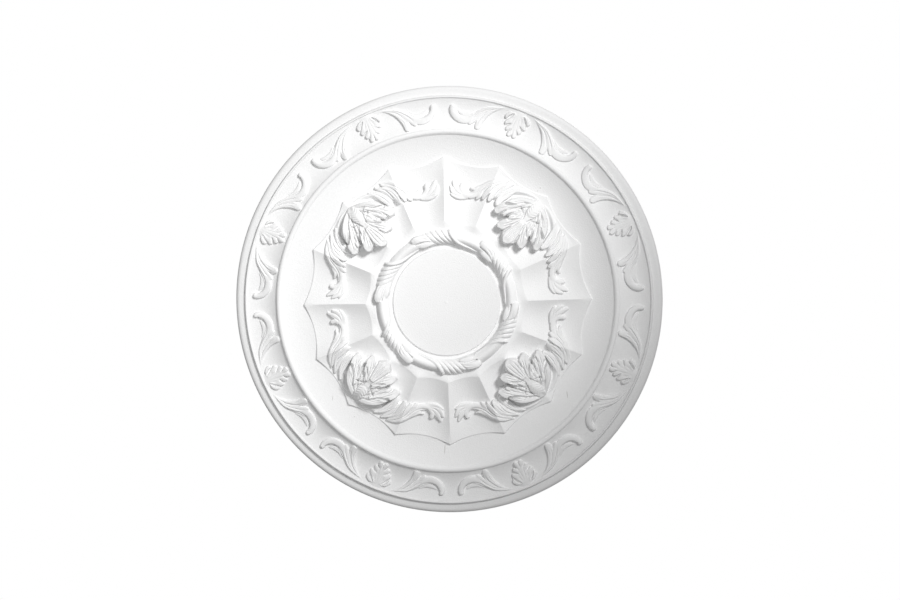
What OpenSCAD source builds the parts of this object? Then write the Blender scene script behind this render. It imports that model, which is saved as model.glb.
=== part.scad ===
// Ceiling rose: one plaster casting with a moulded rim, a leaf frieze,
// a sixteen-ribbed star, four leaf sprays on a garland and a leaf wreath.
// Each feature is drawn face up, as height above the flat back, and the whole
// rose is then turned over: it hangs face down with its back on the XY plane.

/* [Rose] */
// Diameter of the rose over its outer bead
rose_d = 600; // [480:10:900]
// Height of the plain edge above the back
edge_h = 7; // [2:0.5:12]
// Height of the dish floor above the back
floor_h = 15; // [10:0.5:24]

/* [Rim] */
// Radius of the outer bead
bead_r = 6.5; // [4:0.5:12]
// Width of the flat fillet inside the bead
fillet_w = 6.5; // [2:0.5:8]
// Width of the sloping step up to the crest
step_w = 1.5; // [1:0.5:8]
// Height of the rim's crest above the back
crest_h = 18.5; // [14:0.5:30]
// Half width of the rolled crest
crest_w = 1.5; // [1.5:0.5:6]

/* [Cove and ridge] */
// Width of the cove that carries the frieze
cove_w = 42.5; // [36:0.5:70]
// Height of the cove's lowest line above the back
cove_h = 14; // [10:0.5:20]
// Half width of the ridge inside the cove
ridge_w = 4; // [2.5:0.5:8]
// Height of the ridge above the back
ridge_h = 25.5; // [20:0.5:36]
// Drop from the ridge to the edge of the dish
ridge_drop = 2.5; // [1:0.5:5]
// Width of the dish's curved side
dish_w = 36; // [20:1:60]

/* [Star] */
// Number of ribs
rib_count = 16; // [8:4:24]
// Plain width between the star's points and the edge of the dish
star_gap = 30; // [10:1:60]
// Depth of the scallop between two points
scallop = 10; // [4:0.5:20]
// Height of the star's edge over the dish floor, in mid flute
star_edge = 1.5; // [0.5:0.5:4]
// How much higher a rib stands at its point
point_rise = 2.6; // [0:0.2:5]
// Height of a rib at the star's inner crest above the back
star_h = 33; // [28:0.5:44]
// Dip of the inner crest between two ribs
crest_dip = 3.5; // [1:0.5:6]
// Depth that a flute is hollowed halfway along it
flute_d = 4; // [1:0.5:6]
// Height of the collar where it meets the wreath
collar_h = 30; // [26:0.5:38]

/* [Centre] */
// Diameter of the plain centre disc
disc_d = 150; // [110:2:190]
// Height of the centre disc above the back
disc_h = 29; // [20:0.5:36]
// Gap between the disc and the wreath
wreath_gap = 3; // [1:0.5:8]
// Half width of the wreath's roll
roll_w = 12; // [9:0.5:16]
// Height of the wreath above the back
wreath_h = 40; // [34:0.5:52]
// Depth of the flutes in the wreath's leaves
wreath_flute = 2.6; // [1:0.2:5]
// Number of leaves round the wreath
wreath_leaves = 6; // [4:1:8]
// Number of flutes in each leaf
leaf_flutes = 5; // [3:1:6]

/* [Frieze] */
// Number of shells round the frieze, each between two scrolls
shell_count = 8; // [6:1:12]
// Gap from a shell to the scrolls that spring beside it
scroll_start = 3; // [1:0.5:10]
// Half the gap where two scrolls curl towards each other
scroll_gap = 7.5; // [4:0.5:20]
// Height of the scrolls above the cove
scroll_rise = 4.5; // [2:0.5:8]
// Width of a shell
shell_w = 36; // [24:1:44]
// Plain width left of the cove beyond each end of a shell
shell_gap = 4; // [2:0.5:12]
// Height of the shells above the cove
shell_rise = 6; // [2:0.5:9]

/* [Sprays and garland] */
// Number of leaf sprays on the star
spray_count = 4; // [2:1:4]
// Distance from the star's points in to the head of a spray
spray_inset = 14; // [6:1:30]
// Gap between a spray's lowest leaf and the wreath
spray_gap = 15; // [4:1:30]
// Height of a spray's leaves above the star
spray_rise = 15; // [8:0.5:20]
// Height of the garland above the star
garland_rise = 7; // [3:0.5:12]
// Half width of the garland's stem
garland_w = 6; // [3:0.5:8]

/* [Hidden] */
plaster = [0.93, 0.93, 0.92];

// Segments along a curve, and slices of the star and the wreath
lobe_n = 4;
stem_n = 8;
arc_n = 6;
star_slices = 4;
star_rings = 6;
leaf_slices = 16;
roll_n = 6;

// How deep the carving is rooted below the surface it stands on
root = 3;

// Radii of the rim's steps, worked in from the outer edge
rose_r = rose_d / 2;
fillet_r = rose_r - bead_r;
step_r = fillet_r - fillet_w;
crest_r = step_r - step_w - crest_w;
cove_r1 = crest_r - crest_w;
cove_r0 = cove_r1 - cove_w;
cove_r = (cove_r0 + cove_r1) / 2;
ridge_r = cove_r0 - ridge_w;
dish_r = ridge_r - ridge_w;
cove_rise = 2;

// Radii of the star, the wreath and the centre disc
star_r = dish_r - star_gap;
disc_r = disc_d / 2;
wreath_r = disc_r + wreath_gap + roll_w;
star_rib_r = wreath_r + roll_w + 11;
star_mid_r = wreath_r + roll_w + 6;
collar_r = wreath_r + roll_w + 1;
groove_h = disc_h - 3;

// A scroll's length, from a shell to the middle of the gap before the next one
scroll_l = PI * cove_r / shell_count - shell_w / 2 - scroll_start - scroll_gap;
shell_l = cove_w - 2 * shell_gap;

// A spray's head, and its length from there to its lowest leaf
spray_r = star_r - spray_inset;
spray_l = spray_r - wreath_r - roll_w - spray_gap;
spray_depth = spray_rise + flute_d + root;

// Cross-sections of a swept lobe: [share of half width, share of height]
roof = [[-1, 0], [0, 1], [1, 0]];
round_back = [[-1, 0], [-0.72, 0.72], [0, 1], [0.72, 0.72], [1, 0]];

function mix(a, b, u) = a + (b - a) * u;
function clamp01(u) = max(0, min(1, u));
function turned(r, a) = [r * cos(a), r * sin(a)];

// A point at u on the curve that a list of control points draws
function bezier(p, u) = len(p) == 1
    ? p[0]
    : bezier([for (i = [0 : len(p) - 2]) mix(p[i], p[i + 1], u)], u);

function arc(c, rx, rz, a0, a1, n) =
    [for (i = [0 : n]) let (a = mix(a0, a1, i / n)) [c[0] + rx * cos(a), c[1] + rz * sin(a)]];
function curve(p, n) = [for (i = [0 : n]) bezier(p, i / n)];

// A control value that brings a curve from a to b through the height m halfway
function through(a, m, b) = 2 * m - (a + b) / 2;

cove = [[cove_r1, crest_h - cove_rise],
        [cove_r, through(crest_h - cove_rise, cove_h, ridge_h - ridge_w)],
        [cove_r0, ridge_h - ridge_w]];
dish = [[dish_r - 0.5, ridge_h - ridge_drop - 1],
        [dish_r - dish_w / 2, floor_h],
        [dish_r - dish_w, floor_h]];

// Height of the cove's ground at a radius
function cove_ground(r) = bezier(cove, clamp01((cove_r1 - r) / cove_w))[1];

// A closed mesh over rows of points: each row is a ring, and rows follow on
module skin(rows, closed) {
    n = len(rows);
    m = len(rows[0]);
    last = closed ? n - 1 : n - 2;
    sides = [for (i = [0 : last], j = [0 : m - 1])
        let (a = i * m, b = ((i + 1) % n) * m, k = (j + 1) % m)
        each [[a + j, b + k, b + j], [a + j, a + k, b + k]]];
    ends = closed ? [] : [
        for (j = [1 : m - 2]) each [
            [0, j + 1, j],
            [(n - 1) * m, (n - 1) * m + j, (n - 1) * m + j + 1]]];
    polyhedron(points = [for (row = rows) each row], faces = concat(sides, ends));
}

// A lobe swept along control points [x, y, crest height, half width], to a depth below its crest
module lobe(p, depth, n = lobe_n, section = roof) {
    skin([for (i = [0 : n])
        let (c = bezier(p, i / n),
             e = bezier(p, min(1, (i + 0.5) / n)) - bezier(p, max(0, (i - 0.5) / n)),
             side = [-e[1], e[0]] / norm([e[0], e[1]]))
        [for (s = section) [c[0] + side[0] * c[3] * s[0],
                            c[1] + side[1] * c[3] * s[0],
                            c[2] - depth * (1 - s[1])]]], false);
}

// The turned body: rim, cove, ridge and dish, solid to the flat back
module body() {
    rim = concat(
        [[0, 0], [rose_r, 0]],
        arc([fillet_r, edge_h], bead_r, bead_r, 0, 90, arc_n),
        [[step_r, edge_h + bead_r]],
        arc([crest_r, crest_h - cove_rise], crest_w, cove_rise, 0, 180, arc_n),
        curve(cove, arc_n),
        arc([ridge_r, ridge_h - ridge_w], ridge_w, ridge_w, 15, 150, arc_n),
        [[dish_r, ridge_h - ridge_drop]],
        curve(dish, arc_n),
        [[0, floor_h]]);
    rotate_extrude($fn = 128) polygon(rim);
}

// The centre disc, raised inside the groove at the wreath's foot
module disc() {
    edge = 2;
    rotate_extrude($fn = 96)
        polygon(concat(
            [[0, floor_h - root], [disc_r + 6, floor_h - root], [disc_r + 6, groove_h], [disc_r, groove_h]],
            arc([disc_r - edge, disc_h - edge], edge, edge, 0, 90, 3),
            [[0, disc_h]]));
}

// Height of the star at radius r, where v runs from 0 in mid flute to 1 on a rib
function star_top(r, v) =
    let (outer = star_r - scallop * (1 - v * v),
         inner = mix(star_mid_r, star_rib_r, v),
         u = clamp01((outer - r) / (outer - inner)),
         hollow = 1 - v * v,
         foot = floor_h + star_edge + point_rise * v * v,
         crest = star_h - crest_dip * hollow)
    mix(foot, crest, pow(u, 1.3)) - flute_d * hollow * pow(4 * u * (1 - u), 0.8);

// The star: sixteen straight ribs with hollow flutes between them
module star() {
    slice = 360 / rib_count;
    skin([for (k = [0 : rib_count - 1], i = [0 : star_slices - 1])
        let (v = abs(2 * i / star_slices - 1),
             a = slice * (k + i / star_slices),
             outer = star_r - scallop * (1 - v * v),
             inner = mix(star_mid_r, star_rib_r, v))
        concat(
            [[each turned(outer, a), floor_h - root]],
            [for (j = [0 : star_rings - 1])
                let (r = mix(outer, inner, j / (star_rings - 1)))
                [each turned(r, a), star_top(r, v)]],
            [[each turned(collar_r, a), collar_h],
             [each turned(collar_r - 4, a), floor_h - root]])], true);
}

// How far the wreath's roll is cut at s along a leaf (0 to 1) and q across it (-1 to 1)
function leaf_cut(s, q) =
    let (fan = 0.62, along = s - 0.06 * q, flute = abs(sin(180 * leaf_flutes * along / fan)))
    along < 0 ? 0.5 * wreath_flute
        : along < fan ? wreath_flute * (0.15 + 0.6 * (1 - flute) - 0.25)
        : 0.8 * wreath_flute;

// The wreath: a roll wrapped in leaves that follow each other round it
module wreath() {
    skin([for (k = [0 : wreath_leaves - 1], i = [0 : leaf_slices - 1])
        let (s = 1 - i / leaf_slices, a = 360 / wreath_leaves * (k + i / leaf_slices))
        concat(
            [[each turned(wreath_r + roll_w, a), floor_h - root]],
            [for (j = [0 : roll_n])
                let (t = mix(0, 180, j / roll_n),
                     cut = leaf_cut(s, cos(t)),
                     r = wreath_r + (roll_w - 0.4 * cut) * cos(t))
                [each turned(r, a), groove_h - 1 + (wreath_h - groove_h + 1 - cut) * sin(t)]],
            [[each turned(wreath_r - roll_w, a), floor_h - root]])], true);
}

// A control point of the frieze: s along it, t across it outwards from the cove's middle
function on_frieze(s, t, rise, w) =
    let (r = cove_r + t)
    [each turned(r, s / cove_r * 180 / PI), cove_ground(r) + rise, w];

// One scroll, drawn along its own length from its pointed start to its curled end
module scroll() {
    start = shell_w / 2 + scroll_start;
    depth = scroll_rise + root;
    function at(x, t, rise, w) =
        on_frieze(start + x * scroll_l, t * cove_w / 2, rise * scroll_rise, w);
    lobe([at(0, 0.8, 0.3, 1.5), at(0.3, 0.66, 0.8, 4), at(0.5, -0.56, 1, 7),
          at(0.85, -0.85, 1.1, 6.5), at(1.03, -0.28, 1.1, 6.5), at(0.98, 0.42, 0.9, 5)], depth, stem_n);
    lobe([at(0.18, 0.56, 0.5, 2.5), at(0.4, 0.28, 1, 8), at(0.4, -0.9, 0.8, 6)], depth);
    lobe([at(0.38, 0.14, 0.7, 3), at(0.52, -0.19, 0.9, 6), at(0.54, -0.6, 0.6, 4)], depth);
}

// One shell: fingers that fan from its hinge and hang towards the centre
module shell() {
    depth = shell_rise + root;
    function at(s, t, rise, w) =
        on_frieze(s * shell_w / 2, (0.53 - t) * shell_l, rise * shell_rise, w);
    lobe([at(0, 0, 0.4, 4), at(0, 0.45, 1, 7), at(0, 1, 0.7, 5)], depth, lobe_n, round_back);
    for (side = [-1, 1]) {
        lobe([at(0, 0.1, 0.6, 2), at(side * 0.6, 0, 0.8, 6), at(side, 0.3, 0.5, 3.5)], depth);
        lobe([at(0, 0.25, 0.6, 2), at(side * 0.6, 0.25, 0.8, 6), at(side * 0.92, 0.55, 0.5, 3.5)], depth);
        lobe([at(0, 0.45, 0.6, 2), at(side * 0.5, 0.5, 0.8, 5.5), at(side * 0.7, 0.8, 0.5, 3.5)], depth);
    }
}

// A control point of a spray: x out to one side, d down from its head to the centre
function on_spray(x, d, rise, w) =
    let (r = spray_r - d * spray_l)
    [r, x * spray_l, star_top(r, 1) + rise * spray_rise, w];

// A control point of the garland: a degrees from the spray's axis, d in from the spray's head
function on_garland(a, d, rise, w) =
    let (r = spray_r - d * spray_l)
    [each turned(r, a), star_top(r, 0.5) + rise * garland_rise, w];

// One half of the garland: an arching stem, its hanging leaves and its end tuft
module garland() {
    depth = garland_rise + flute_d + root;
    w = garland_w;
    lobe([on_garland(1.5, -0.04, 0.5, w / 3), on_garland(13, -0.13, 1, w * 1.2),
          on_garland(22, 0.23, 1.1, w * 1.4), on_garland(24, 0.7, 1, w), on_garland(33, 0.73, 1, w),
          on_garland(37, 0.5, 1, w), on_garland(34, 0.28, 0.7, w / 2)], depth, stem_n, round_back);
    for (leaf = [[13.5, 16.5, 0.11, 0.55], [17, 20.8, 0.18, 0.52], [20, 24, 0.25, 0.54]])
        lobe([on_garland(leaf[0], leaf[2], 0.8, w / 2),
              on_garland(leaf[1], leaf[2] + 0.11, 1.1, w),
              on_garland(leaf[1], leaf[3], 0.5, w / 4)], depth);
    lobe([on_garland(34, 0.56, 0.9, w / 2), on_garland(38.5, 0.54, 1.1, w),
          on_garland(42.5, 0.2, 0.6, w / 3)], depth);
    lobe([on_garland(34, 0.56, 0.9, w / 2), on_garland(38, 0.48, 0.9, w),
          on_garland(42, 0.59, 0.5, w / 3)], depth);
}

// One half of a spray's paired leaves, which rise as they run to the centre
module spray_side() {
    lobe([on_spray(0.05, 0.08, 0.5, 2), on_spray(0.24, 0.03, 0.9, 6),
          on_spray(0.46, 0.28, 0.6, 2)], spray_depth);
    lobe([on_spray(0.08, 0.2, 0.55, 3), on_spray(0.3, 0.22, 1.05, 9),
          on_spray(0.55, 0.58, 0.6, 2.5)], spray_depth, lobe_n, round_back);
    lobe([on_spray(0.24, 0.24, 0.65, 2), on_spray(0.4, 0.26, 0.9, 6),
          on_spray(0.62, 0.42, 0.5, 2)], spray_depth);
    lobe([on_spray(0.18, 0.3, 0.6, 2), on_spray(0.26, 0.42, 1, 6),
          on_spray(0.36, 0.62, 0.6, 2.5)], spray_depth);
    lobe([on_spray(0.04, 0.26, 0.65, 2), on_spray(0.14, 0.36, 1, 6),
          on_spray(0.16, 0.6, 0.65, 3)], spray_depth);
    lobe([on_spray(0.03, 0.48, 0.7, 4), on_spray(0.08, 0.76, 1, 7),
          on_spray(0.42, 0.8, 0.8, 2.5)], spray_depth, lobe_n, round_back);
}

// One spray: a pointed bud at its head, paired leaves and one leaf down the middle
module spray() {
    lobe([on_spray(0, 0, 0.3, 2), on_spray(0, 0.12, 1.4, 13), on_spray(0, 0.42, 0.6, 3)],
         spray_depth, lobe_n, round_back);
    lobe([on_spray(0, 0.42, 0.75, 4), on_spray(0, 0.72, 1.3, 13), on_spray(0, 1, 0.75, 8)],
         spray_depth, lobe_n, round_back);
    for (side = [0, 1]) mirror([0, side, 0]) {
        spray_side();
        garland();
    }
}

module ceiling_rose() {
    color(plaster) rotate([180, 0, 0]) {
        body();
        disc();
        star();
        wreath();
        for (k = [0 : shell_count - 1]) rotate(360 / shell_count * (k + 0.5)) {
            shell();
            for (side = [0, 1]) mirror([0, side, 0]) scroll();
        }
        for (k = [0 : spray_count - 1]) rotate(360 / spray_count * (k + 0.5)) spray();
    }
}

ceiling_rose();
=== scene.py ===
"""A cast plaster ceiling rose, hung face down and seen from below.

The carving is worked out as heights over the flat back, in millimetres, on a polar
grid. The face is drawn as it is seen: x to the right, y up, h towards the viewer.
"""
import math

import bmesh
import bpy
import numpy as np
from mathutils import Matrix, Vector


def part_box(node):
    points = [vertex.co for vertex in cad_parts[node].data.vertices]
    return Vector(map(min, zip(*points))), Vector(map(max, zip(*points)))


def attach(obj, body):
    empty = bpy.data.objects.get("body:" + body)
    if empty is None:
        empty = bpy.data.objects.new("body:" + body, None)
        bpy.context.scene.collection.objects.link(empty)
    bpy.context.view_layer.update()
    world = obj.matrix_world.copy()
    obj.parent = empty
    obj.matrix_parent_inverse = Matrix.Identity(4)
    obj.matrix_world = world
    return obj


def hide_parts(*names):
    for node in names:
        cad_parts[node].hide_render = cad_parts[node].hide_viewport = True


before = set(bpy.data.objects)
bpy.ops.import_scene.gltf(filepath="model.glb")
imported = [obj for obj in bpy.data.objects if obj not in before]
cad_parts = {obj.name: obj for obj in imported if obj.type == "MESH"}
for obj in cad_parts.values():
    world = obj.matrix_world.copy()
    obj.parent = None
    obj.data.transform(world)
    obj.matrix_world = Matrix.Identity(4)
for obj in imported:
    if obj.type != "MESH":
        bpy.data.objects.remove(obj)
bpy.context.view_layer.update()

# ---------------------------------------------------------------- sizes
# Radii from the centre and heights above the flat back, in millimetres
MM = 0.001
low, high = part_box("ceiling_rose")
ROSE_R = (high[0] - low[0]) / 2 / MM

# the rim: an upright edge, a rounded bead, a flat fillet and a fine crest
EDGE_H = 7.0
BEAD_R = 6.5
FILLET_R = ROSE_R - BEAD_R
STEP_R = FILLET_R - 6.5
CREST_R = STEP_R - 3.0
CREST_W = 1.5
CREST_H = 18.5
CREST_RISE = 2.0
# the cove that carries the frieze, and the ridge inside it
COVE_OUT = CREST_R - CREST_W
COVE_IN = COVE_OUT - 42.5
COVE_MID = (COVE_OUT + COVE_IN) / 2
COVE_H = 14.0
RIDGE_W = 4.0
RIDGE_R = COVE_IN - RIDGE_W
RIDGE_H = 25.5
# the dish
DISH_R = RIDGE_R - RIDGE_W
DISH_W = 36.0
LIP_H = RIDGE_H - 2.5
FLOOR_H = 15.0

# the star: its ribs in degrees, its scalloped edge, and the crest and collar at its inner end
RIB_STEP = 22.5
STAR_R = 202.0
SCALLOP = 10.0
STAR_EDGE = 1.5
POINT_RISE = 2.6
STAR_H = 33.0
CREST_DIP = 3.5
FLUTE_D = 4.0
CREST_RIB_R = 113.0
CREST_MID_R = 108.0
COLLAR_H = 30.0
# the groove that the wreath lies in
GROOVE_R = 100.0
GROOVE_IN = 80.0
GROOVE_H = 26.0

# the heads of the sprays, the wreath's roll, and the tip of its first leaf in degrees
SPRAY_R = 188.0
ROLL_R = 88.5
FIRST_LEAF = 59.5
# the centre disc, and a low pip in its middle: radius and height of its foot and shoulder
DISC_R = 75.0
DISC_H = 29.0
PIP_FOOT = (3.2, DISC_H)
PIP_SHOULDER = (2.2, DISC_H + 0.35)
PIP_TOP = DISC_H + 0.45
# how far in from their outlines the star and the disc reach their full height
EDGE_W = 0.9


# ---------------------------------------------------------------- curves and ground
def arc(cx, cy, rx, ry, start, end, steps=16):
    """Points along an arc of an ellipse, from one angle to another in degrees."""
    a = np.radians(np.linspace(start, end, steps))
    return np.c_[cx + rx * np.cos(a), cy + ry * np.sin(a)]


def bezier(points, steps=24):
    """Points along the quadratic curve through three control points."""
    a, b, c = np.array(points, float)
    t = np.linspace(0, 1, steps)[:, None]
    return (1 - t) ** 2 * a + 2 * t * (1 - t) * b + t**2 * c


def spline(points, steps=22):
    """A smooth curve that passes through every one of the points."""
    p = np.array(points, float)
    p = np.vstack([2 * p[0] - p[1], p, 2 * p[-1] - p[-2]])
    t = np.linspace(0, 1, steps, endpoint=False)[:, None]
    spans = [
        0.5 * (2 * b + (c - a) * t + (2 * a - 5 * b + 4 * c - d) * t**2
               + (3 * b - a - 3 * c + d) * t**3)
        for a, b, c, d in zip(p[:-3], p[1:-2], p[2:-1], p[3:])
    ]
    return np.vstack([*spans, p[-2][None]])


def smooth(x):
    """0 below 0, 1 above 1, and an even S between."""
    x = np.clip(x, 0, 1)
    return x * x * (3 - 2 * x)


def rim_profile():
    """The turned profile from the outer edge in to the dish floor, as (radius, height)."""
    cove_start, cove_end = CREST_H - CREST_RISE, RIDGE_H - RIDGE_W
    sag = 2 * COVE_H - (cove_start + cove_end) / 2
    return np.vstack([
        arc(FILLET_R, EDGE_H, BEAD_R, BEAD_R, 0, 90),
        [[STEP_R, EDGE_H + BEAD_R]],
        arc(CREST_R, CREST_H - CREST_RISE, CREST_W, CREST_RISE, 0, 180),
        bezier([(COVE_OUT, cove_start), (COVE_MID, sag), (COVE_IN, cove_end)]),
        arc(RIDGE_R, RIDGE_H - RIDGE_W, RIDGE_W, RIDGE_W, 15, 150),
        [[DISH_R, LIP_H]],
        bezier([(DISH_R - 0.5, LIP_H - 1), (DISH_R - DISH_W / 2, FLOOR_H),
                (DISH_R - DISH_W, FLOOR_H)]),
        [[GROOVE_R - 10, FLOOR_H]],
    ])


def along(points, step):
    """Points spaced evenly along a polyline, about step apart."""
    length = np.r_[0, np.cumsum(np.hypot(*np.diff(points, axis=0).T))]
    s = np.linspace(0, length[-1], int(length[-1] / step) + 1)
    return np.c_[np.interp(s, length, points[:, 0]), np.interp(s, length, points[:, 1])]


def star_height(r, phi):
    """The star: straight sharp ribs every RIB_STEP degrees, with hollow flutes between.

    Returns its height, which is minus infinity outside it, and a share that rises from 0
    at its outline to 1 just inside.
    """
    v = np.abs(2 * ((phi / RIB_STEP) % 1) - 1)
    hollow = 1 - v**2
    outer = STAR_R - SCALLOP * hollow
    inner = CREST_RIB_R - (CREST_RIB_R - CREST_MID_R) * hollow
    foot = FLOOR_H + STAR_EDGE + POINT_RISE * v**2
    crest = STAR_H - CREST_DIP * hollow
    u = np.clip((outer - r) / (outer - inner), 0, 1)
    top = foot + (crest - foot) * u**1.3 - FLUTE_D * hollow * (4 * u * (1 - u)) ** 0.8
    fall = smooth((inner - r) / (inner - GROOVE_R))
    top = top + (COLLAR_H - top) * fall
    return np.where(r < outer, top, -np.inf), smooth((outer - r) / EDGE_W)


# ---------------------------------------------------------------- carving
class Sheet:
    """A polar grid of heights, with the plain ground that the carving stands on."""

    def __init__(self, r, phi, ground):
        self.r, self.phi = r, phi
        self.ground = ground
        self.h = ground.copy()

    def fold_about(self, axis, out):
        """Measures x along an axis, from a radius out, and y to either side of it alike."""
        a = np.radians(np.abs(self.phi - axis))
        self.x, self.y = self.r * np.cos(a) - out, self.r * np.sin(a)

    def lobe(self, points, polar=False, base=False, edge=0.9, camber=1.0, power=2.0,
             hollow=0.0, tilt=0.0, cut=False):
        """Adds one lobe swept along points of (x, y, height, half width), or cuts it out.

        With polar, x and y are degrees from the axis and the radius. Heights are above
        the ground, or above the back where base is True. Camber is how far a lobe falls
        from its middle to its sides, and edge is the width of its rounded border. A tilt
        raises its left side, as one goes along it, and lowers its right. A cut never goes
        below the ground.
        """
        p = np.array(points, float)
        if polar:
            a = np.radians(p[:, 0])
            p = np.c_[p[:, 1] * np.cos(a), p[:, 1] * np.sin(a), p[:, 2:]]
        c = spline(p)
        reach = c[:, 3].max() + 1
        near = ((self.x > c[:, 0].min() - reach) & (self.x < c[:, 0].max() + reach)
                & (self.y > c[:, 1].min() - reach) & (self.y < c[:, 1].max() + reach))
        at = np.flatnonzero(near)
        if not len(at):
            return
        px, py = self.x.flat[at], self.y.flat[at]
        best = np.full(len(at), np.inf)
        side, z, w = np.zeros((3, len(at)))
        for a, b in zip(c[:-1], c[1:]):
            ab = b[:2] - a[:2]
            t = np.clip(((px - a[0]) * ab[0] + (py - a[1]) * ab[1]) / (ab @ ab + 1e-12), 0, 1)
            dx, dy = px - a[0] - t * ab[0], py - a[1] - t * ab[1]
            wide = a[3] + (b[3] - a[3]) * t
            d = np.hypot(dx, dy) / wide
            closer = d < best
            best[closer] = d[closer]
            lean = (ab[0] * dy - ab[1] * dx) / (np.hypot(*ab) * wide + 1e-12)
            side[closer] = lean[closer]
            z[closer] = (a[2] + (b[2] - a[2]) * t)[closer]
            w[closer] = wide[closer]
        inside = best < 1
        at, q, side, z, w = at[inside], best[inside], side[inside], z[inside], w[inside]
        ground = self.ground.flat[at]
        top = z - ground if base else z
        shape = top - camber * q**power + tilt * side - hollow * (1 - q**2)
        rise = np.maximum(shape, 0) * smooth((1 - q) * w / edge)
        h = self.h.flat[at]
        if cut:
            self.h.flat[at] = np.maximum(h - rise, np.minimum(h, ground))
        else:
            self.h.flat[at] = np.maximum(h, ground + rise)

    def groove(self, points, depth=1.0, width=0.9, polar=False):
        """Cuts a narrow groove along points of (x, y), fading out at both of its ends."""
        last = len(points) - 1
        fade = [0.25 if i in (0, last) else 1 for i in range(last + 1)]
        self.lobe([(x, y, depth * f, width * (0.5 + 0.5 * f)) for (x, y), f in zip(points, fade)],
                  polar=polar, camber=depth, power=1.4, edge=0.4, cut=True)


def carve_frieze(s):
    """One shell and, folded about its axis, one scroll beside it."""
    s.fold_about(RIB_STEP, 0)
    turn = 180 / math.pi / COVE_MID  # degrees for a millimetre along the frieze

    def run(points, **kw):
        """Points given as millimetres along the frieze and out from its middle line."""
        s.lobe([(x * turn, COVE_MID + t, h, w) for x, t, h, w in points], polar=True, **kw)

    def groove(points, **kw):
        s.groove([(x * turn, COVE_MID + t) for x, t in points], polar=True, **kw)

    # the scroll: the stem that runs on into the long curl, and the curl's round end
    run([(20, 18.5, 0.6, 0.6), (30, 15.5, 2.4, 2.0), (41, 11, 3.6, 3.4), (52, 3.5, 4.2, 4.6),
         (62, -4.5, 4.4, 5.6), (72, -7.8, 4.4, 5.8), (81, -5.5, 4.6, 5.4), (87.5, 0, 4.8, 4.6),
         (90, 6, 4.8, 4.0)], camber=1.6, tilt=-0.6)
    run([(90, 6, 4.4, 4.0), (89.3, 9.3, 5.0, 4.0)], camber=1.8)
    # the drop lobe that turns down from the stem, and the shorter one beside it
    run([(24, 16.5, 1.0, 0.8), (33, 12.5, 2.8, 2.6), (42, 5, 3.8, 4.2), (48, -4, 4.2, 5.0),
         (50.5, -11, 4.2, 5.2), (51, -15, 3.8, 4.9)], camber=1.5, tilt=0.5)
    run([(48, 4, 3.6, 3.0), (56, -3, 4.0, 4.2), (61, -8.5, 3.8, 4.0), (63, -11, 3.4, 3.2)],
        camber=1.3)
    # the small leaf inside the curl
    run([(58, 6.5, 2.0, 1.2), (65, 1.8, 3.0, 2.6), (72, 0.6, 3.2, 3.2), (78, 2.4, 3.0, 2.6),
         (81, 4.6, 2.2, 1.6)], camber=1.0, hollow=0.9)
    groove([(28, 15.2), (38, 10.2), (45, 3.2), (50.5, -5), (52.5, -12)], depth=1.4, width=1.1)
    groove([(33, 15), (44, 9.5), (52, 3), (58, -3), (61, -8)], depth=1.3, width=1.0)
    groove([(44, 12), (54, 6), (62, -0.5), (71, -3.4), (80, -1.6), (84, 2.5), (85.5, 6.5)],
           depth=1.6, width=1.2)
    groove([(42, 1), (46.5, -5), (48, -13)], depth=0.9, width=0.9)

    # the shell: a broad body that springs from the rim, with three lobes a side and a split foot
    run([(0, 21, 0.6, 11), (0, 13, 3.4, 10), (0, 4, 4.6, 9.5), (0, -4, 4.8, 7.6),
         (0, -9, 4.2, 5.4)], camber=1.2)
    run([(5, 12, 3.6, 4.4), (10, 11, 4.4, 5.4), (13.8, 9, 4.2, 4.4)], camber=1.0)
    run([(4, 4.5, 4.0, 4.4), (8.5, 3, 4.6, 5.0), (11.8, 0.8, 4.2, 4.1)], camber=1.0)
    run([(3, -2, 4.2, 3.8), (6.2, -4.6, 4.6, 4.2), (8.4, -6.6, 4.2, 3.7)], camber=1.0)
    run([(1.5, -8, 4.4, 3.4), (3.0, -11.5, 4.6, 4.0), (3.9, -13.8, 4.2, 3.7)], camber=1.2)
    run([(14.2, 5.2, 3.6, 1.2), (11, 9.5, 4.2, 1.9), (7, 14.5, 3.0, 1.3)], camber=2.0, cut=True)
    run([(12.5, -2.6, 3.5, 1.0), (8.5, -0.8, 3.0, 1.5), (5.5, 1, 1.5, 0.8)], camber=1.6, cut=True)
    run([(8, -10.2, 3.0, 0.9), (5.5, -8, 2.4, 1.3), (3.6, -6, 1.2, 0.8)], camber=1.4, cut=True)
    groove([(0, -5), (0, -12), (0, -18)], depth=1.6, width=1.0)
    groove([(1.2, 17), (2.2, 6), (3.4, -4), (3.4, -12)], depth=0.7, width=0.8)
    groove([(3, 17), (6, 7), (9, 0)], depth=0.7, width=0.8)
    groove([(4.5, 17), (9, 10.5), (12.5, 8)], depth=0.7, width=0.8)


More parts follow.
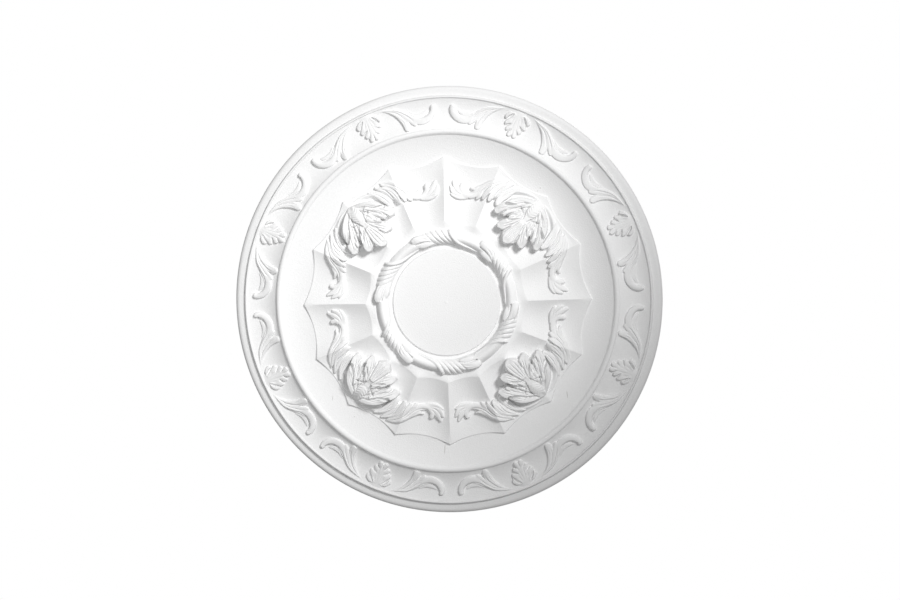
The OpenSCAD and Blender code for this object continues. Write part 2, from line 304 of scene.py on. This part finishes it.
def carve_garland(s):
    """Half of the garland: its hollow sheath, hanging leaves, long curl and end tuft."""
    s.fold_about(2 * RIB_STEP, 0)

    def run(points, **kw):
        """Points given as degrees from the spray's axis and the radius."""
        s.lobe(points, polar=True, **kw)

    def groove(points, **kw):
        s.groove(points, polar=True, **kw)

    # the sheath that springs from the spray's head: low outside, hollowed on its inner side
    run([(1, 190.5, 1.5, 2.2), (4, 190, 3, 3.8), (7.5, 187.5, 4, 5.2), (11, 183.5, 4.8, 6.6),
         (14.5, 177.5, 5.2, 8), (17.5, 170, 5, 8.5), (19.5, 162, 4.8, 7.5)],
        camber=0.2, tilt=5, edge=6)
    # the leaves that hang from it
    run([(10.5, 186, 5.4, 2), (13.2, 177, 7.6, 4.6), (15.2, 166.5, 8.6, 5.8),
         (16.4, 157.5, 8.2, 4.8), (16.6, 152.5, 7, 3)], camber=1.8)
    run([(14, 187, 4.5, 2), (17, 177, 7.2, 5), (19.4, 166.5, 8, 5.4), (20.8, 158, 7.4, 4.2),
         (21, 153, 6.2, 2.8)], camber=1.6)
    run([(17, 186, 4, 2), (20, 176, 6.4, 4.6), (22.8, 166, 7.2, 4.8), (24.2, 157, 6.6, 3.8),
         (24.3, 152, 5.4, 2.4)], camber=1.5)
    # the long curl, and the small hook inside it
    run([(16.5, 188.5, 2.5, 1.4), (20.2, 183, 4.4, 3.4), (23.2, 175, 5.6, 4.8), (25.8, 165, 6, 5.6),
         (28.2, 156.5, 5.8, 5.4), (31.2, 151.5, 5.6, 4.8), (34.4, 152, 5.6, 4.4),
         (36.2, 157.5, 5.6, 4), (36.2, 163.5, 5.2, 3.6)], camber=1.6)
    run([(25.5, 173, 3.4, 1.4), (27.8, 165.5, 5.2, 2.4), (29.8, 161, 5.4, 2.8),
         (31.6, 161.2, 4.2, 2)], camber=1.0)
    run([(24.6, 163, 5, 2), (26.4, 154.5, 6.4, 3.6), (27.2, 150.2, 5.4, 2.6)], camber=1.4)
    # the tuft at its end, three broad lobes from one root
    run([(33, 149.5, 4.6, 3.4), (36.4, 152.5, 5.4, 4.2), (39, 160, 5, 4), (40.6, 167.5, 3.4, 2.2)],
        camber=1.2)
    run([(33, 148, 4.4, 3.2), (37, 149.5, 5.2, 4.4), (40, 154, 4.8, 4.2), (41.6, 160.5, 3.4, 2.4)],
        camber=1.2)
    run([(33, 147, 4, 2.6), (37, 146.5, 4.8, 3.6), (39.8, 148.5, 4.2, 3), (41.4, 150.5, 3.2, 1.8)],
        camber=1.2)
    # veins
    groove([(11.5, 184), (14, 173), (15.6, 163), (16.4, 155)], depth=1.3, width=1.2)
    groove([(12.6, 181), (15.4, 171), (16.8, 162)], depth=0.9, width=0.9)
    groove([(15, 184), (17.6, 175.5), (18.9, 165), (19.3, 156)], depth=2.2, width=1.2)
    groove([(16, 183), (19.2, 172), (20.6, 162), (21, 155)], depth=1.0, width=1.0)
    groove([(17.8, 184), (20.6, 174), (22.2, 163.5), (22.6, 154)], depth=2.0, width=1.1)
    groove([(19, 182), (22.2, 171), (24, 160)], depth=0.9, width=0.9)
    groove([(19.5, 183), (23, 172.5), (25, 162), (25.6, 155)], depth=1.8, width=1.1)
    groove([(21.5, 180), (24.5, 171), (27, 161), (29.6, 155.5), (32.6, 153.8), (34.4, 157),
            (34.8, 162)], depth=1.2, width=1.2)
    groove([(34, 151.6), (37, 156), (39.2, 163.5)], depth=0.8, width=0.9)
    groove([(34.5, 150), (38, 152.3), (40.5, 158)], depth=1.2, width=1.0)
    groove([(34.5, 148), (38.4, 148.5), (40.6, 151)], depth=1.0, width=0.9)


def carve_spray(s):
    """Half of a spray: the bud, the broad side leaf and the three-lobed leaf below it.

    Points are millimetres out from the spray's head: x towards the centre, y to a side,
    and heights above the back, as the leaves rise clear of the star.
    """
    s.fold_about(2 * RIB_STEP, SPRAY_R)
    s.x = -s.x
    s.ground = s.h.copy()

    def blade(points, camber=0.9, **kw):
        s.lobe(points, base=True, camber=camber, power=2.5, edge=0.8, **kw)

    def notch(points, depth, width):
        """Cuts the slot between two lobes down towards the star below."""
        last = len(points) - 1
        tapered = [(x, y, depth * (1 - 0.7 * i / last), width * (1 - 0.45 * i / last))
                   for i, (x, y) in enumerate(points)]
        s.lobe(tapered, camber=depth * 0.7, power=3, edge=0.7, cut=True)

    # side leaf: its broad blade, then the hooked lobe outwards, its tip and a lobe inwards
    blade([(3, 2, 24.5, 4), (11, 10, 30.5, 8), (21, 18.5, 34, 11.5), (31, 25, 35.2, 11.5),
           (38, 29, 34.8, 8)], camber=0.7)
    blade([(6, 5, 27, 4.5), (13, 14.4, 32, 6.4), (19.8, 23.4, 33.6, 6.6), (24.6, 30.4, 32.2, 4.6)],
          camber=0.6)
    blade([(21, 18, 35, 7), (32, 27, 36.4, 9), (41, 33, 35.8, 8), (47, 37, 33.8, 5.2)], camber=0.6)
    blade([(30, 20.5, 35.8, 6), (38, 24.4, 36, 6.4), (43.4, 26.8, 34.8, 4.6)], camber=0.6)
    # cupped leaf between the bud and the side leaf
    blade([(15, 5, 31, 4), (24, 9.5, 35.5, 6.4), (33, 13, 37.2, 7.6), (40.5, 14.8, 36.2, 6)],
          camber=0.6, hollow=0.8)
    # lower leaf: its broad blade, then a side lobe and the tongue
    blade([(27, 0, 34.5, 4.5), (36, 0, 39, 10.5), (46, 0, 41.4, 15), (55, 0, 41.8, 14.5),
           (61, 0, 41.4, 11)], camber=0.7)
    blade([(31, 2, 37, 6), (40, 7, 41, 8.4), (48.5, 12, 42.2, 8.8), (55, 16.6, 41.2, 7.8),
           (59.4, 20, 39.8, 5)], camber=0.6)
    blade([(44, 0, 41.6, 7.6), (56, 0, 43, 9.4), (64, 0, 43.2, 8.4), (67.4, 0, 42.4, 6.4)],
          camber=0.5)
    # the bud
    blade([(1, 0, 24, 2.5), (7, 0, 31, 7), (14, 0, 35.5, 9), (21, 0, 37, 8), (26, 0, 36, 4.6),
           (29, 0, 34, 1.8)], camber=3.2)

    # the slots between the lobes
    notch([(33, 36), (28.8, 29.4), (24, 22.4)], 9, 2.6)
    notch([(51, 30.8), (45.2, 30.4), (39, 28.4)], 7, 1.9)
    notch([(49, 22.8), (42.5, 21.8), (36, 19.4), (28, 15.4)], 9, 2.2)
    notch([(22.4, 15.4), (24.6, 11), (27.4, 6)], 5, 1.6)
    notch([(31, 4.6), (26.5, 5.6), (19.5, 8.5), (13, 8.6)], 5, 1.6)
    notch([(67, 13.6), (60, 10.8), (52, 8)], 9, 2.4)
    # the deep veins that part each leaf into its lobes, and the fine ones down every lobe
    deep = ([(8, 7.5), (14, 15.5), (21, 21.5), (26.5, 27)],
            [(15, 13), (26, 19), (35, 24.6), (42, 29.6)],
            [(10, 5), (19, 11.4), (28, 17.2), (36, 22)],
            [(31, 3), (42, 6), (52, 9), (58, 11.5)],
            [(33, 4.6), (40, 10.4), (45, 15.4), (47.6, 19.6)],
            [(29.5, 9.5), (36, 12.4), (41.6, 14.6)])
    for vein in deep:
        s.groove(vein, depth=3.6, width=1.7)
    fine = ([(6, 5.5), (13.4, 15.4), (20, 24.4), (24, 29.6)],
            [(11, 14.4), (16, 21.4), (20.4, 27.4)],
            [(16, 18), (21.6, 25), (25.6, 30.2)],
            [(21, 20), (31, 28), (40, 33.4), (46, 36.8)],
            [(24, 23.6), (32, 31), (38, 35.6)],
            [(26, 21), (35, 27.4), (44, 32.4)],
            [(31, 20.8), (38, 24.8), (43, 27)],
            [(34, 4.4), (43, 9.8), (51, 14.6), (58, 19.4)],
            [(37, 8.6), (44, 13.8), (51, 18.8)],
            [(37, 4.6), (46, 8.8), (55, 13.4), (59, 16)],
            [(36, 0), (48, 0), (60, 0), (67, 0)],
            [(38, 1.6), (49, 3.8), (60, 5), (66, 4.6)],
            [(20, 7.4), (28, 11), (37, 13)],
            [(22, 11.6), (30, 15.6), (38, 17.8)])
    for vein in fine:
        s.groove(vein, depth=1.5, width=1.2)
    # the bud's scales
    for i in range(5):
        x = 5 + 4 * i
        s.groove([(x - 1, 7.5), (x + 2, 4), (x + 4, 0)], depth=1.1, width=1.0)
    # the eye of the cupped leaf
    s.lobe([(35, 15, 1.6, 2), (38, 16.2, 1.8, 2.2)], camber=1.0, edge=1.0, cut=True)


def carve_wreath_leaf(s, tip):
    """One leaf that wraps the wreath's roll, its tip at an angle given in degrees."""
    def at(a, r):
        """A place given as degrees on from the leaf's tip, clockwise, and the radius."""
        return tip - a, r

    def run(points, **kw):
        s.lobe([(*at(a, r), h, w) for a, r, h, w in points], polar=True, base=True, **kw)

    # the sleeve that wraps the roll, cut off by its last ridge
    run([(10, 89.4, 38, 10.8), (15, 90.4, 38.8, 11.2), (21, 91, 39.2, 11.2), (27, 91.2, 39.2, 11),
         (31, 92, 38.8, 9.6)], camber=9.8, edge=1.3)
    # the two round lobes at its tip
    run([(15, 91, 39.4, 6.5), (9.5, 93, 40.4, 6.6), (5, 94.6, 40.4, 6.2), (3.2, 95, 39.6, 5.4)],
        camber=2.4)
    run([(16, 85, 37.4, 5), (11.5, 84.8, 37.8, 5.2), (7.5, 85.4, 37.4, 4.6), (5.8, 86, 36.6, 4)],
        camber=2.2)
    # the ridge that bounds it, running on along the inner side to the next leaf
    run([(33.5, 99.5, 35.6, 2.2), (34.3, 96, 38.8, 2.8), (36.5, 90.8, 40.2, 3),
         (40, 86.2, 38.8, 2.8), (45, 83, 36.4, 2.6), (52, 81.8, 34.4, 2.3), (62, 82, 33, 1.9)],
        camber=1.8)
    # the flutes that cross it from the outer edge to the inner one
    flutes = ((12.5, 7, 1.5), (16.5, 8, 1.9), (20.5, 8.5, 2.1), (25, 9, 2.3), (29.5, 9, 2.5))
    for a, lean, depth in flutes:
        s.lobe([(*at(a, 103), depth, 1.6), (*at(a + 0.22 * lean, 97), depth, 1.7),
                (*at(a + 0.55 * lean, 90), depth * 0.9, 1.5),
                (*at(a + 1.1 * lean, 83), depth * 0.7, 1.2),
                (*at(a + 1.7 * lean, 79.5), depth * 0.3, 0.8)],
               polar=True, camber=2, power=1.6, edge=0.6, cut=True)
    # the parting between the two lobes, and the vein of each
    s.lobe([(*at(2.5, 89.6), 4, 1.2), (*at(8, 88.6), 3, 1.3), (*at(14, 87), 2, 1.1),
            (*at(21, 83), 0.8, 0.8)], polar=True, camber=2, power=1.8, edge=0.6, cut=True)
    s.groove([at(7, 94), at(12, 92), at(18, 88)], depth=1.0, width=1.3, polar=True)
    s.groove([at(10, 96.5), at(14, 95), at(19, 90)], depth=1.0, width=1.2, polar=True)


def carve_wreath(s):
    """The wreath: a plain roll, and a leaf that wraps it once in each sixth of the circle."""
    s.ground = s.h.copy()
    s.x, s.y = s.r * np.cos(np.radians(s.phi)), s.r * np.sin(np.radians(s.phi))
    roll = [(a, ROLL_R, 10.3, 9.5) for a in range(-6, 370, 6)]
    s.lobe(roll, polar=True, camber=10.3, edge=1.2)
    for k in range(6):
        carve_wreath_leaf(s, FIRST_LEAF - 60 * k)


# ---------------------------------------------------------------- mesh
# The spacing of the two carved grids, millimetres out and columns or degrees round
WEDGE_STEP = 0.5
WEDGE_COLUMNS = 451
RING_STEP = 0.45
RING_TURN = 0.36
# About how many triangles are kept of an eighth of the rose, and of the wreath
WEDGE_TRIANGLES = 20500
RING_TRIANGLES = 30000
# Where the two grids meet, and where the wreath's grid ends on the disc
SEAM_R = 103.0
DISC_SEAM_R = DISC_R - 3
PIP_SIDES = 32
# A ring of points that keeps the flat back's triangles from being long slivers
BACK_RING_R = 150
BACK_SIDES = 64
# Points in one cell are welded, and edges over this many degrees stay sharp
CELLS_PER_MM = 2000
SHARP_ANGLE = 38


def cut_down(name, points, faces, count):
    """The same surface in about count triangles, as arrays of points and faces."""
    mesh = bpy.data.meshes.new(name)
    mesh.from_pydata(points.tolist(), [], faces.tolist())
    whole = bpy.data.objects.new(name, mesh)
    bpy.context.scene.collection.objects.link(whole)
    fewer = whole.modifiers.new("fewer", "DECIMATE")
    fewer.ratio = count / (2 * len(faces))
    fewer.use_collapse_triangulate = True
    seen = whole.evaluated_get(bpy.context.evaluated_depsgraph_get()).to_mesh()
    co = np.empty(len(seen.vertices) * 3, np.float32)
    seen.vertices.foreach_get("co", co)
    tri = np.array([p.vertices[:] for p in seen.polygons])
    co = co.reshape(-1, 3).astype(float)
    bpy.data.objects.remove(whole)
    bpy.data.meshes.remove(mesh)
    return co, tri


def grid_faces(rows, columns, wrap=False):
    """Quads over a grid of rows by columns, facing the viewer where rows run outwards."""
    i = np.arange(rows * columns).reshape(rows, columns)
    if wrap:
        i = np.c_[i, i[:, :1]]
    corners = i[:-1, :-1], i[1:, :-1], i[1:, 1:], i[:-1, 1:]
    return np.column_stack([c.ravel() for c in corners])


def softened(h, wrap=False):
    """Takes the hard edge off a grid of heights, as paint and a mould's release coat do."""
    for axis in (0, 1):
        ahead, behind = np.roll(h, -1, axis), np.roll(h, 1, axis)
        even = (ahead + behind + 2 * h) / 4
        if axis == 0 or not wrap:
            ends = [slice(None)] * 2
            for end in (0, -1):
                ends[axis] = end
                even[tuple(ends)] = h[tuple(ends)]
        h = even
    return h


def points_of(s):
    """The points of a sheet, row by row."""
    a = np.radians(s.phi)
    return np.c_[(s.r * np.cos(a)).ravel(), (s.r * np.sin(a)).ravel(), s.h.ravel()]


def wedge():
    """An eighth of the rose outside the wreath, from one mirror line to the next."""
    profile = rim_profile()
    turned = along(profile, WEDGE_STEP)
    turned = turned[turned[:, 0] > STAR_R][::-1]
    inner = np.arange(SEAM_R, STAR_R, WEDGE_STEP)
    r = np.r_[inner, turned[:, 0]]
    h = np.r_[np.interp(inner, profile[::-1, 0], profile[::-1, 1]), turned[:, 1]]
    phi = np.linspace(0, 2 * RIB_STEP, WEDGE_COLUMNS)
    r_grid, phi_grid = np.meshgrid(r, phi, indexing="ij")
    ground = np.repeat(h[:, None], len(phi), axis=1)
    star, edge = star_height(r_grid, phi_grid)
    raised = ground + (np.maximum(star, ground) - ground) * edge
    ground = np.where(np.isfinite(star), raised, ground)
    s = Sheet(r_grid, phi_grid, ground)
    carve_frieze(s)
    carve_garland(s)
    carve_spray(s)
    s.h = softened(s.h)
    points = points_of(s)
    foot = points[-len(phi):].copy()
    foot[:, 2] = 0
    points = np.vstack([points, foot])
    return points, grid_faces(len(r) + 1, len(phi))


def open_border(tri):
    """The points, by index, on the edges that only one triangle has."""
    edges = np.sort(np.vstack([tri[:, [0, 1]], tri[:, [1, 2]], tri[:, [2, 0]]]), axis=1)
    pairs, times = np.unique(edges, axis=0, return_counts=True)
    return np.unique(pairs[times == 1])


def snapped(points, tri):
    """Moves the points on a wedge's two cut sides exactly onto its mirror lines."""
    border = open_border(tri)
    phi = np.degrees(np.arctan2(points[border, 1], points[border, 0]))
    near = 0.2
    first, last = border[phi < near], border[phi > 2 * RIB_STEP - near]
    points[first, 1] = 0
    points[last, :2] = points[last, :2].mean(axis=1)[:, None]
    return points


def all_round(points, tri):
    """The wedge mirrored and turned into the whole circle."""
    parts, faces = [], []
    for k in range(4):
        c, s = round(math.cos(k * math.pi / 2)), round(math.sin(k * math.pi / 2))
        turn = np.array([[c, -s], [s, c]])
        for mirror in (False, True):
            p = points.copy()
            if mirror:
                p[:, :2] = p[:, 1::-1]
            p[:, :2] = p[:, :2] @ turn.T
            faces.append((tri[:, ::-1] if mirror else tri) + len(points) * len(parts))
            parts.append(p)
    return np.vstack(parts), np.vstack(faces)


def wreath_ring():
    """The wreath and the edge of the centre disc, all the way round."""
    r = np.arange(DISC_SEAM_R, SEAM_R, RING_STEP)
    phi = np.arange(0, 360, RING_TURN)
    r_grid, phi_grid = np.meshgrid(r, phi, indexing="ij")
    star, _ = star_height(r_grid, phi_grid)
    slope = np.clip((r_grid - GROOVE_IN) / (GROOVE_R - GROOVE_IN), 0, 1)
    under = GROOVE_H + (COLLAR_H - GROOVE_H) * slope
    disc = (DISC_H - GROOVE_H) * smooth((DISC_R - r_grid) / EDGE_W)
    ground = np.where(r_grid > GROOVE_R, star, under) + disc
    s = Sheet(r_grid, phi_grid, ground)
    carve_wreath(s)
    s.h = softened(s.h, wrap=True)
    return points_of(s), grid_faces(len(r), len(phi), wrap=True)


def zipped(points, inner, outer):
    """Triangles between two rings of points, given by index and sorted here by angle."""
    def sorted_ring(ring):
        a = np.arctan2(points[ring, 1], points[ring, 0])
        order = np.argsort(a)
        return np.r_[ring[order], ring[order[0]]], np.r_[a[order], a[order[0]] + 2 * math.pi]

    (p, pa), (q, qa) = sorted_ring(inner), sorted_ring(outer)
    i = j = 0
    faces = []
    while i < len(p) - 1 or j < len(q) - 1:
        if j == len(q) - 1 or (i < len(p) - 1 and pa[i + 1] < qa[j + 1]):
            faces.append((p[i], q[j], p[i + 1]))
            i += 1
        else:
            faces.append((p[i], q[j], q[j + 1]))
            j += 1
    return faces


def circle(r, h, count):
    """A level ring of count points."""
    a = np.arange(count) * 2 * math.pi / count
    return np.c_[r * np.cos(a), r * np.sin(a), np.full(count, h)]


def closed_surface():
    """The whole casting as one closed surface: its points and its triangles."""
    points, quads = wedge()
    points, tri = cut_down("wedge", points, quads, WEDGE_TRIANGLES)
    points, tri = all_round(snapped(points, tri), tri)
    ring, ring_quads = wreath_ring()
    ring, ring_tri = cut_down("ring", ring, ring_quads, RING_TRIANGLES)
    parts = [points, ring, circle(*PIP_FOOT, PIP_SIDES), circle(*PIP_SHOULDER, PIP_SIDES),
             circle(BACK_RING_R, 0, BACK_SIDES), [[0, 0, PIP_TOP], [0, 0, 0]]]
    starts = np.cumsum([0] + [len(p) for p in parts])
    co = np.vstack(parts)

    # the points are welded first, so that each ring along a seam has its points once
    key = np.round(co * CELLS_PER_MM).astype(np.int64)
    _, first, where = np.unique(key, axis=0, return_index=True, return_inverse=True)
    where = where.ravel()
    co = co[first]
    tri = where[np.vstack([tri, ring_tri + starts[1]])]
    tri = tri[(tri[:, 0] != tri[:, 1]) & (tri[:, 1] != tri[:, 2]) & (tri[:, 2] != tri[:, 0])]

    # the rings of points along the open borders, found by their radius
    border = open_border(tri)
    radius = np.hypot(co[border, 0], co[border, 1])

    def border_ring(start, end):
        return border[(radius > start) & (radius < end)]

    outer_foot = border_ring(ROSE_R - 1, ROSE_R + 1)
    wedge_in = border_ring(SEAM_R - 0.01, SEAM_R + 0.01)
    ring_out = border_ring(SEAM_R - 0.8, SEAM_R - 0.01)
    disc_ring = border_ring(DISC_SEAM_R - 0.6, DISC_SEAM_R + 0.6)
    pip_foot, pip_shoulder, back_ring = (where[a:b] for a, b in zip(starts[2:5], starts[3:6]))
    pip_top, back_centre = where[starts[5]:]

    extra = zipped(co, ring_out, wedge_in)
    extra += zipped(co, pip_foot, disc_ring)
    extra += zipped(co, pip_shoulder, pip_foot)
    extra += [(a, b, pip_top) for a, b in zip(pip_shoulder, np.roll(pip_shoulder, -1))]
    extra += [f[::-1] for f in zipped(co, back_ring, outer_foot)]
    extra += [(b, a, back_centre) for a, b in zip(back_ring, np.roll(back_ring, -1))]
    return co, np.vstack([tri, np.array(extra)])


def build_rose():
    """The casting as an object, turned from face up, as drawn, to hanging face down."""
    co, faces = closed_surface()
    world = np.c_[co[:, 0], -co[:, 1], -co[:, 2]] * MM
    data = bpy.data.meshes.new("ceiling_rose_casting")
    data.from_pydata(world.tolist(), [], faces.tolist())
    data.update()
    data.polygons.foreach_set("use_smooth", np.ones(len(data.polygons), bool))
    data.set_sharp_from_angle(angle=math.radians(SHARP_ANGLE))
    rose = bpy.data.objects.new("ceiling_rose_casting", data)
    bpy.context.scene.collection.objects.link(rose)
    even = rose.modifiers.new("even_normals", "WEIGHTED_NORMAL")
    even.keep_sharp = True
    return rose


# ---------------------------------------------------------------- material
def grey(tone):
    """A colour of one tone all through."""
    return (tone, tone, tone, 1)


# Painted shade of pinholes and hairline cracks, which are not cut in the surface: place, half
# length and half width in millimetres, as seen from
# # below, and how far each one is turned anticlockwise, in degrees
PAINTED_SHADE_SPOTS = (
    (133, 155, 0.9, 0.8, 0), (129, 151, 0.8, 0.7, 0), (140, 112, 0.8, 0.7, 0),
    (141, 106.5, 0.7, 0.7, 0), (138, 101, 0.8, 0.7, 0), (-135, -160, 0.8, 0.6, 0),
    (-8, -208, 8.5, 0.55, 86), (165, -133, 6, 0.5, 96), (-165, -133, 5, 0.4, 84),
)
# the grey of the painted shade in those holes and cracks
PAINTED_SHADE_TONE = (0.5, 0.49, 0.47, 1)
# The painted shade spots are only below this height, on the carved side and not on the flat back
PAINTED_SHADE_BELOW = -2 * MM
# Noise in cycles per metre: faint clouding, the grain's tone, and the grain's relief
CLOUDING, GRAIN, PITTING = 9, 560, 620
PITTING_D = 0.5 * MM


def plaster():
    """Matt white casting plaster: fine grain, faint clouding, and painted shade for a few pinholes
    and hairlines.
    """
    m = bpy.data.materials.new("plaster")
    m.use_nodes = True
    n, link = m.node_tree.nodes, m.node_tree.links
    shader = n["Principled BSDF"]
    shader.inputs["Roughness"].default_value = 0.82
    shader.inputs["Specular IOR Level"].default_value = 0.2
    where = n.new("ShaderNodeTexCoord").outputs["Object"]

    def noise(scale, detail):
        """Noise of a scale given in cycles per metre."""
        speckle = n.new("ShaderNodeTexNoise")
        speckle.inputs["Scale"].default_value = scale
        speckle.inputs["Detail"].default_value = detail
        link.new(where, speckle.inputs["Vector"])
        return speckle.outputs["Fac"]

    def mixed(share, a, b):
        """Colour a where the share is 0, and colour b where it is 1."""
        tone = n.new("ShaderNodeMix")
        tone.data_type = "RGBA"
        link.new(share, tone.inputs["Factor"])
        for name, value in (("A", a), ("B", b)):
            if isinstance(value, tuple):
                tone.inputs[name].default_value = value
            else:
                link.new(value, tone.inputs[name])
        return tone.outputs["Result"]

    def painted_shade_spot(x, y, long, wide, turn):
        """Where a speck or hairline of painted shade goes: 1 in its middle and 0 outside it."""
        moved = n.new("ShaderNodeMapping")
        moved.vector_type = "TEXTURE"
        moved.inputs["Location"].default_value = (x * MM, -y * MM, 0)
        moved.inputs["Rotation"].default_value = (0, 0, -math.radians(turn))
        moved.inputs["Scale"].default_value = (long * MM, wide * MM, 1)
        link.new(where, moved.inputs["Vector"])
        away = n.new("ShaderNodeVectorMath")
        away.operation = "LENGTH"
        link.new(moved.outputs["Vector"], away.inputs[0])
        inside = n.new("ShaderNodeMapRange")
        inside.inputs["From Min"].default_value = 1.0
        inside.inputs["From Max"].default_value = 0.5
        link.new(away.outputs["Value"], inside.inputs["Value"])
        return inside.outputs["Result"]

    cloud = mixed(noise(CLOUDING, 5), grey(0.86), grey(0.89))
    plain = mixed(noise(GRAIN, 2), cloud, grey(0.81))
    # the grey specks and lines laid on here are painted shade of pinholes and hairline cracks, not
    # holes in the mesh
    with_painted_shade = plain
    for place in PAINTED_SHADE_SPOTS:
        with_painted_shade = mixed(painted_shade_spot(*place), with_painted_shade, PAINTED_SHADE_TONE)
    level = n.new("ShaderNodeSeparateXYZ")
    link.new(where, level.inputs["Vector"])
    carved = n.new("ShaderNodeMath")
    carved.operation = "LESS_THAN"
    carved.inputs[1].default_value = PAINTED_SHADE_BELOW
    link.new(level.outputs["Z"], carved.inputs[0])
    link.new(mixed(carved.outputs["Value"], plain, with_painted_shade), shader.inputs["Base Color"])
    bump = n.new("ShaderNodeBump")
    bump.inputs["Strength"].default_value = 0.8
    bump.inputs["Distance"].default_value = PITTING_D
    link.new(noise(PITTING, 3), bump.inputs["Height"])
    link.new(bump.outputs["Normal"], shader.inputs["Normal"])
    return m


rose = build_rose()
rose.data.materials.append(plaster())
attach(rose, "root")
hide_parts("ceiling_rose")


# ---------------------------------------------------------------- floor, light and camera
# Places and sizes are in metres here, and powers in watts
FLOOR_Z = -2.6
FLOOR_HALF_WIDTH = 1.6


def pale_floor():
    """The room's floor, far below the ceiling."""
    grid = bmesh.new()
    bmesh.ops.create_grid(grid, x_segments=1, y_segments=1, size=FLOOR_HALF_WIDTH)
    data = bpy.data.meshes.new("floor")
    grid.to_mesh(data)
    grid.free()
    floor = bpy.data.objects.new("floor", data)
    floor.location = (0, 0, FLOOR_Z)
    bpy.context.scene.collection.objects.link(floor)
    m = bpy.data.materials.new("floor")
    m.use_nodes = True
    m.node_tree.nodes["Principled BSDF"].inputs["Base Color"].default_value = grey(0.86)
    data.materials.append(m)
    return floor


def hung(name, light, at, aim):
    """Hangs a light at a place, turned towards its aim."""
    lamp = bpy.data.objects.new(name, light)
    lamp.location = at
    lamp.rotation_euler = (Vector(aim) - Vector(at)).to_track_quat("-Z", "Y").to_euler()
    bpy.context.scene.collection.objects.link(lamp)


def area_light(name, at, aim, size, power):
    """A round soft light."""
    light = bpy.data.lights.new(name, "AREA")
    light.shape = "DISK"
    light.size = size
    light.energy = power
    hung(name, light, at, aim)


def spot_light(name, at, aim, reach, soft, power):
    """A lamp whose beam fades from its middle to nothing at a reach to any side of its aim."""
    light = bpy.data.lights.new(name, "SPOT")
    light.spot_size = 2 * math.atan(reach / (Vector(aim) - Vector(at)).length)
    light.spot_blend = 1
    light.shadow_soft_size = soft
    light.energy = power
    hung(name, light, at, aim)


def white_world(seen, lit):
    """A plain white surround, and the softer light that it throws on the rose."""
    world = bpy.data.worlds.new("surround")
    bpy.context.scene.world = world
    world.use_nodes = True
    n, link = world.node_tree.nodes, world.node_tree.links
    n["Background"].inputs["Strength"].default_value = lit
    n["Background"].inputs["Color"].default_value = grey(1)
    bright = n.new("ShaderNodeBackground")
    bright.inputs["Strength"].default_value = seen
    bright.inputs["Color"].default_value = grey(1)
    path, mix = n.new("ShaderNodeLightPath"), n.new("ShaderNodeMixShader")
    link.new(path.outputs["Is Camera Ray"], mix.inputs["Fac"])
    link.new(n["Background"].outputs[0], mix.inputs[1])
    link.new(bright.outputs[0], mix.inputs[2])
    link.new(mix.outputs[0], n["World Output"].inputs["Surface"])


def camera(distance, tilt, bearing, roll, frame_width, target):
    """A camera below the rose, aimed at a target in millimetres, as the face is drawn.

    It stands off the rose's axis by the tilt, towards the bearing, anticlockwise from the
    right of the view, and sees frame_width metres across at its target.
    """
    data = bpy.data.cameras.new("camera")
    data.lens = data.sensor_width * distance / frame_width
    data.clip_end = 50
    eye = bpy.data.objects.new("camera", data)
    t, b, a = (math.radians(x) for x in (tilt, bearing, roll))
    aim = Vector((target[0], -target[1], -target[2])) * MM
    back = Vector((math.sin(t) * math.cos(b), -math.sin(t) * math.sin(b), -math.cos(t)))
    right = Vector((0, -1, 0)).cross(back).normalized()
    up = back.cross(right)
    turned_right = right * math.cos(a) - up * math.sin(a)
    turned_up = up * math.cos(a) + right * math.sin(a)
    axes = Matrix((turned_right, turned_up, back)).transposed()
    eye.matrix_world = Matrix.Translation(aim + back * distance) @ axes.to_4x4()
    bpy.context.scene.collection.objects.link(eye)
    bpy.context.scene.camera = eye


pale_floor()
white_world(seen=1.0, lit=0.24)
spot_light("key", at=(1.0, -1.0, -1.685), aim=(-0.17, -0.08, 0), reach=0.62, soft=0.28, power=196)
spot_light("fill", at=(-0.25, -0.2, -2.2), aim=(-0.18, -0.03, 0), reach=0.54, soft=0.3, power=34)
area_light("top", at=(-0.8, 0.6, 2.2), aim=(0, 0, 0), size=1.6, power=40)
camera(distance=1.7, tilt=4.8, bearing=45, roll=1.35, frame_width=1.264, target=(3.8, 1.8, 8))
scene = bpy.context.scene
scene.view_settings.view_transform = "Standard"
scene.view_settings.look = "None"
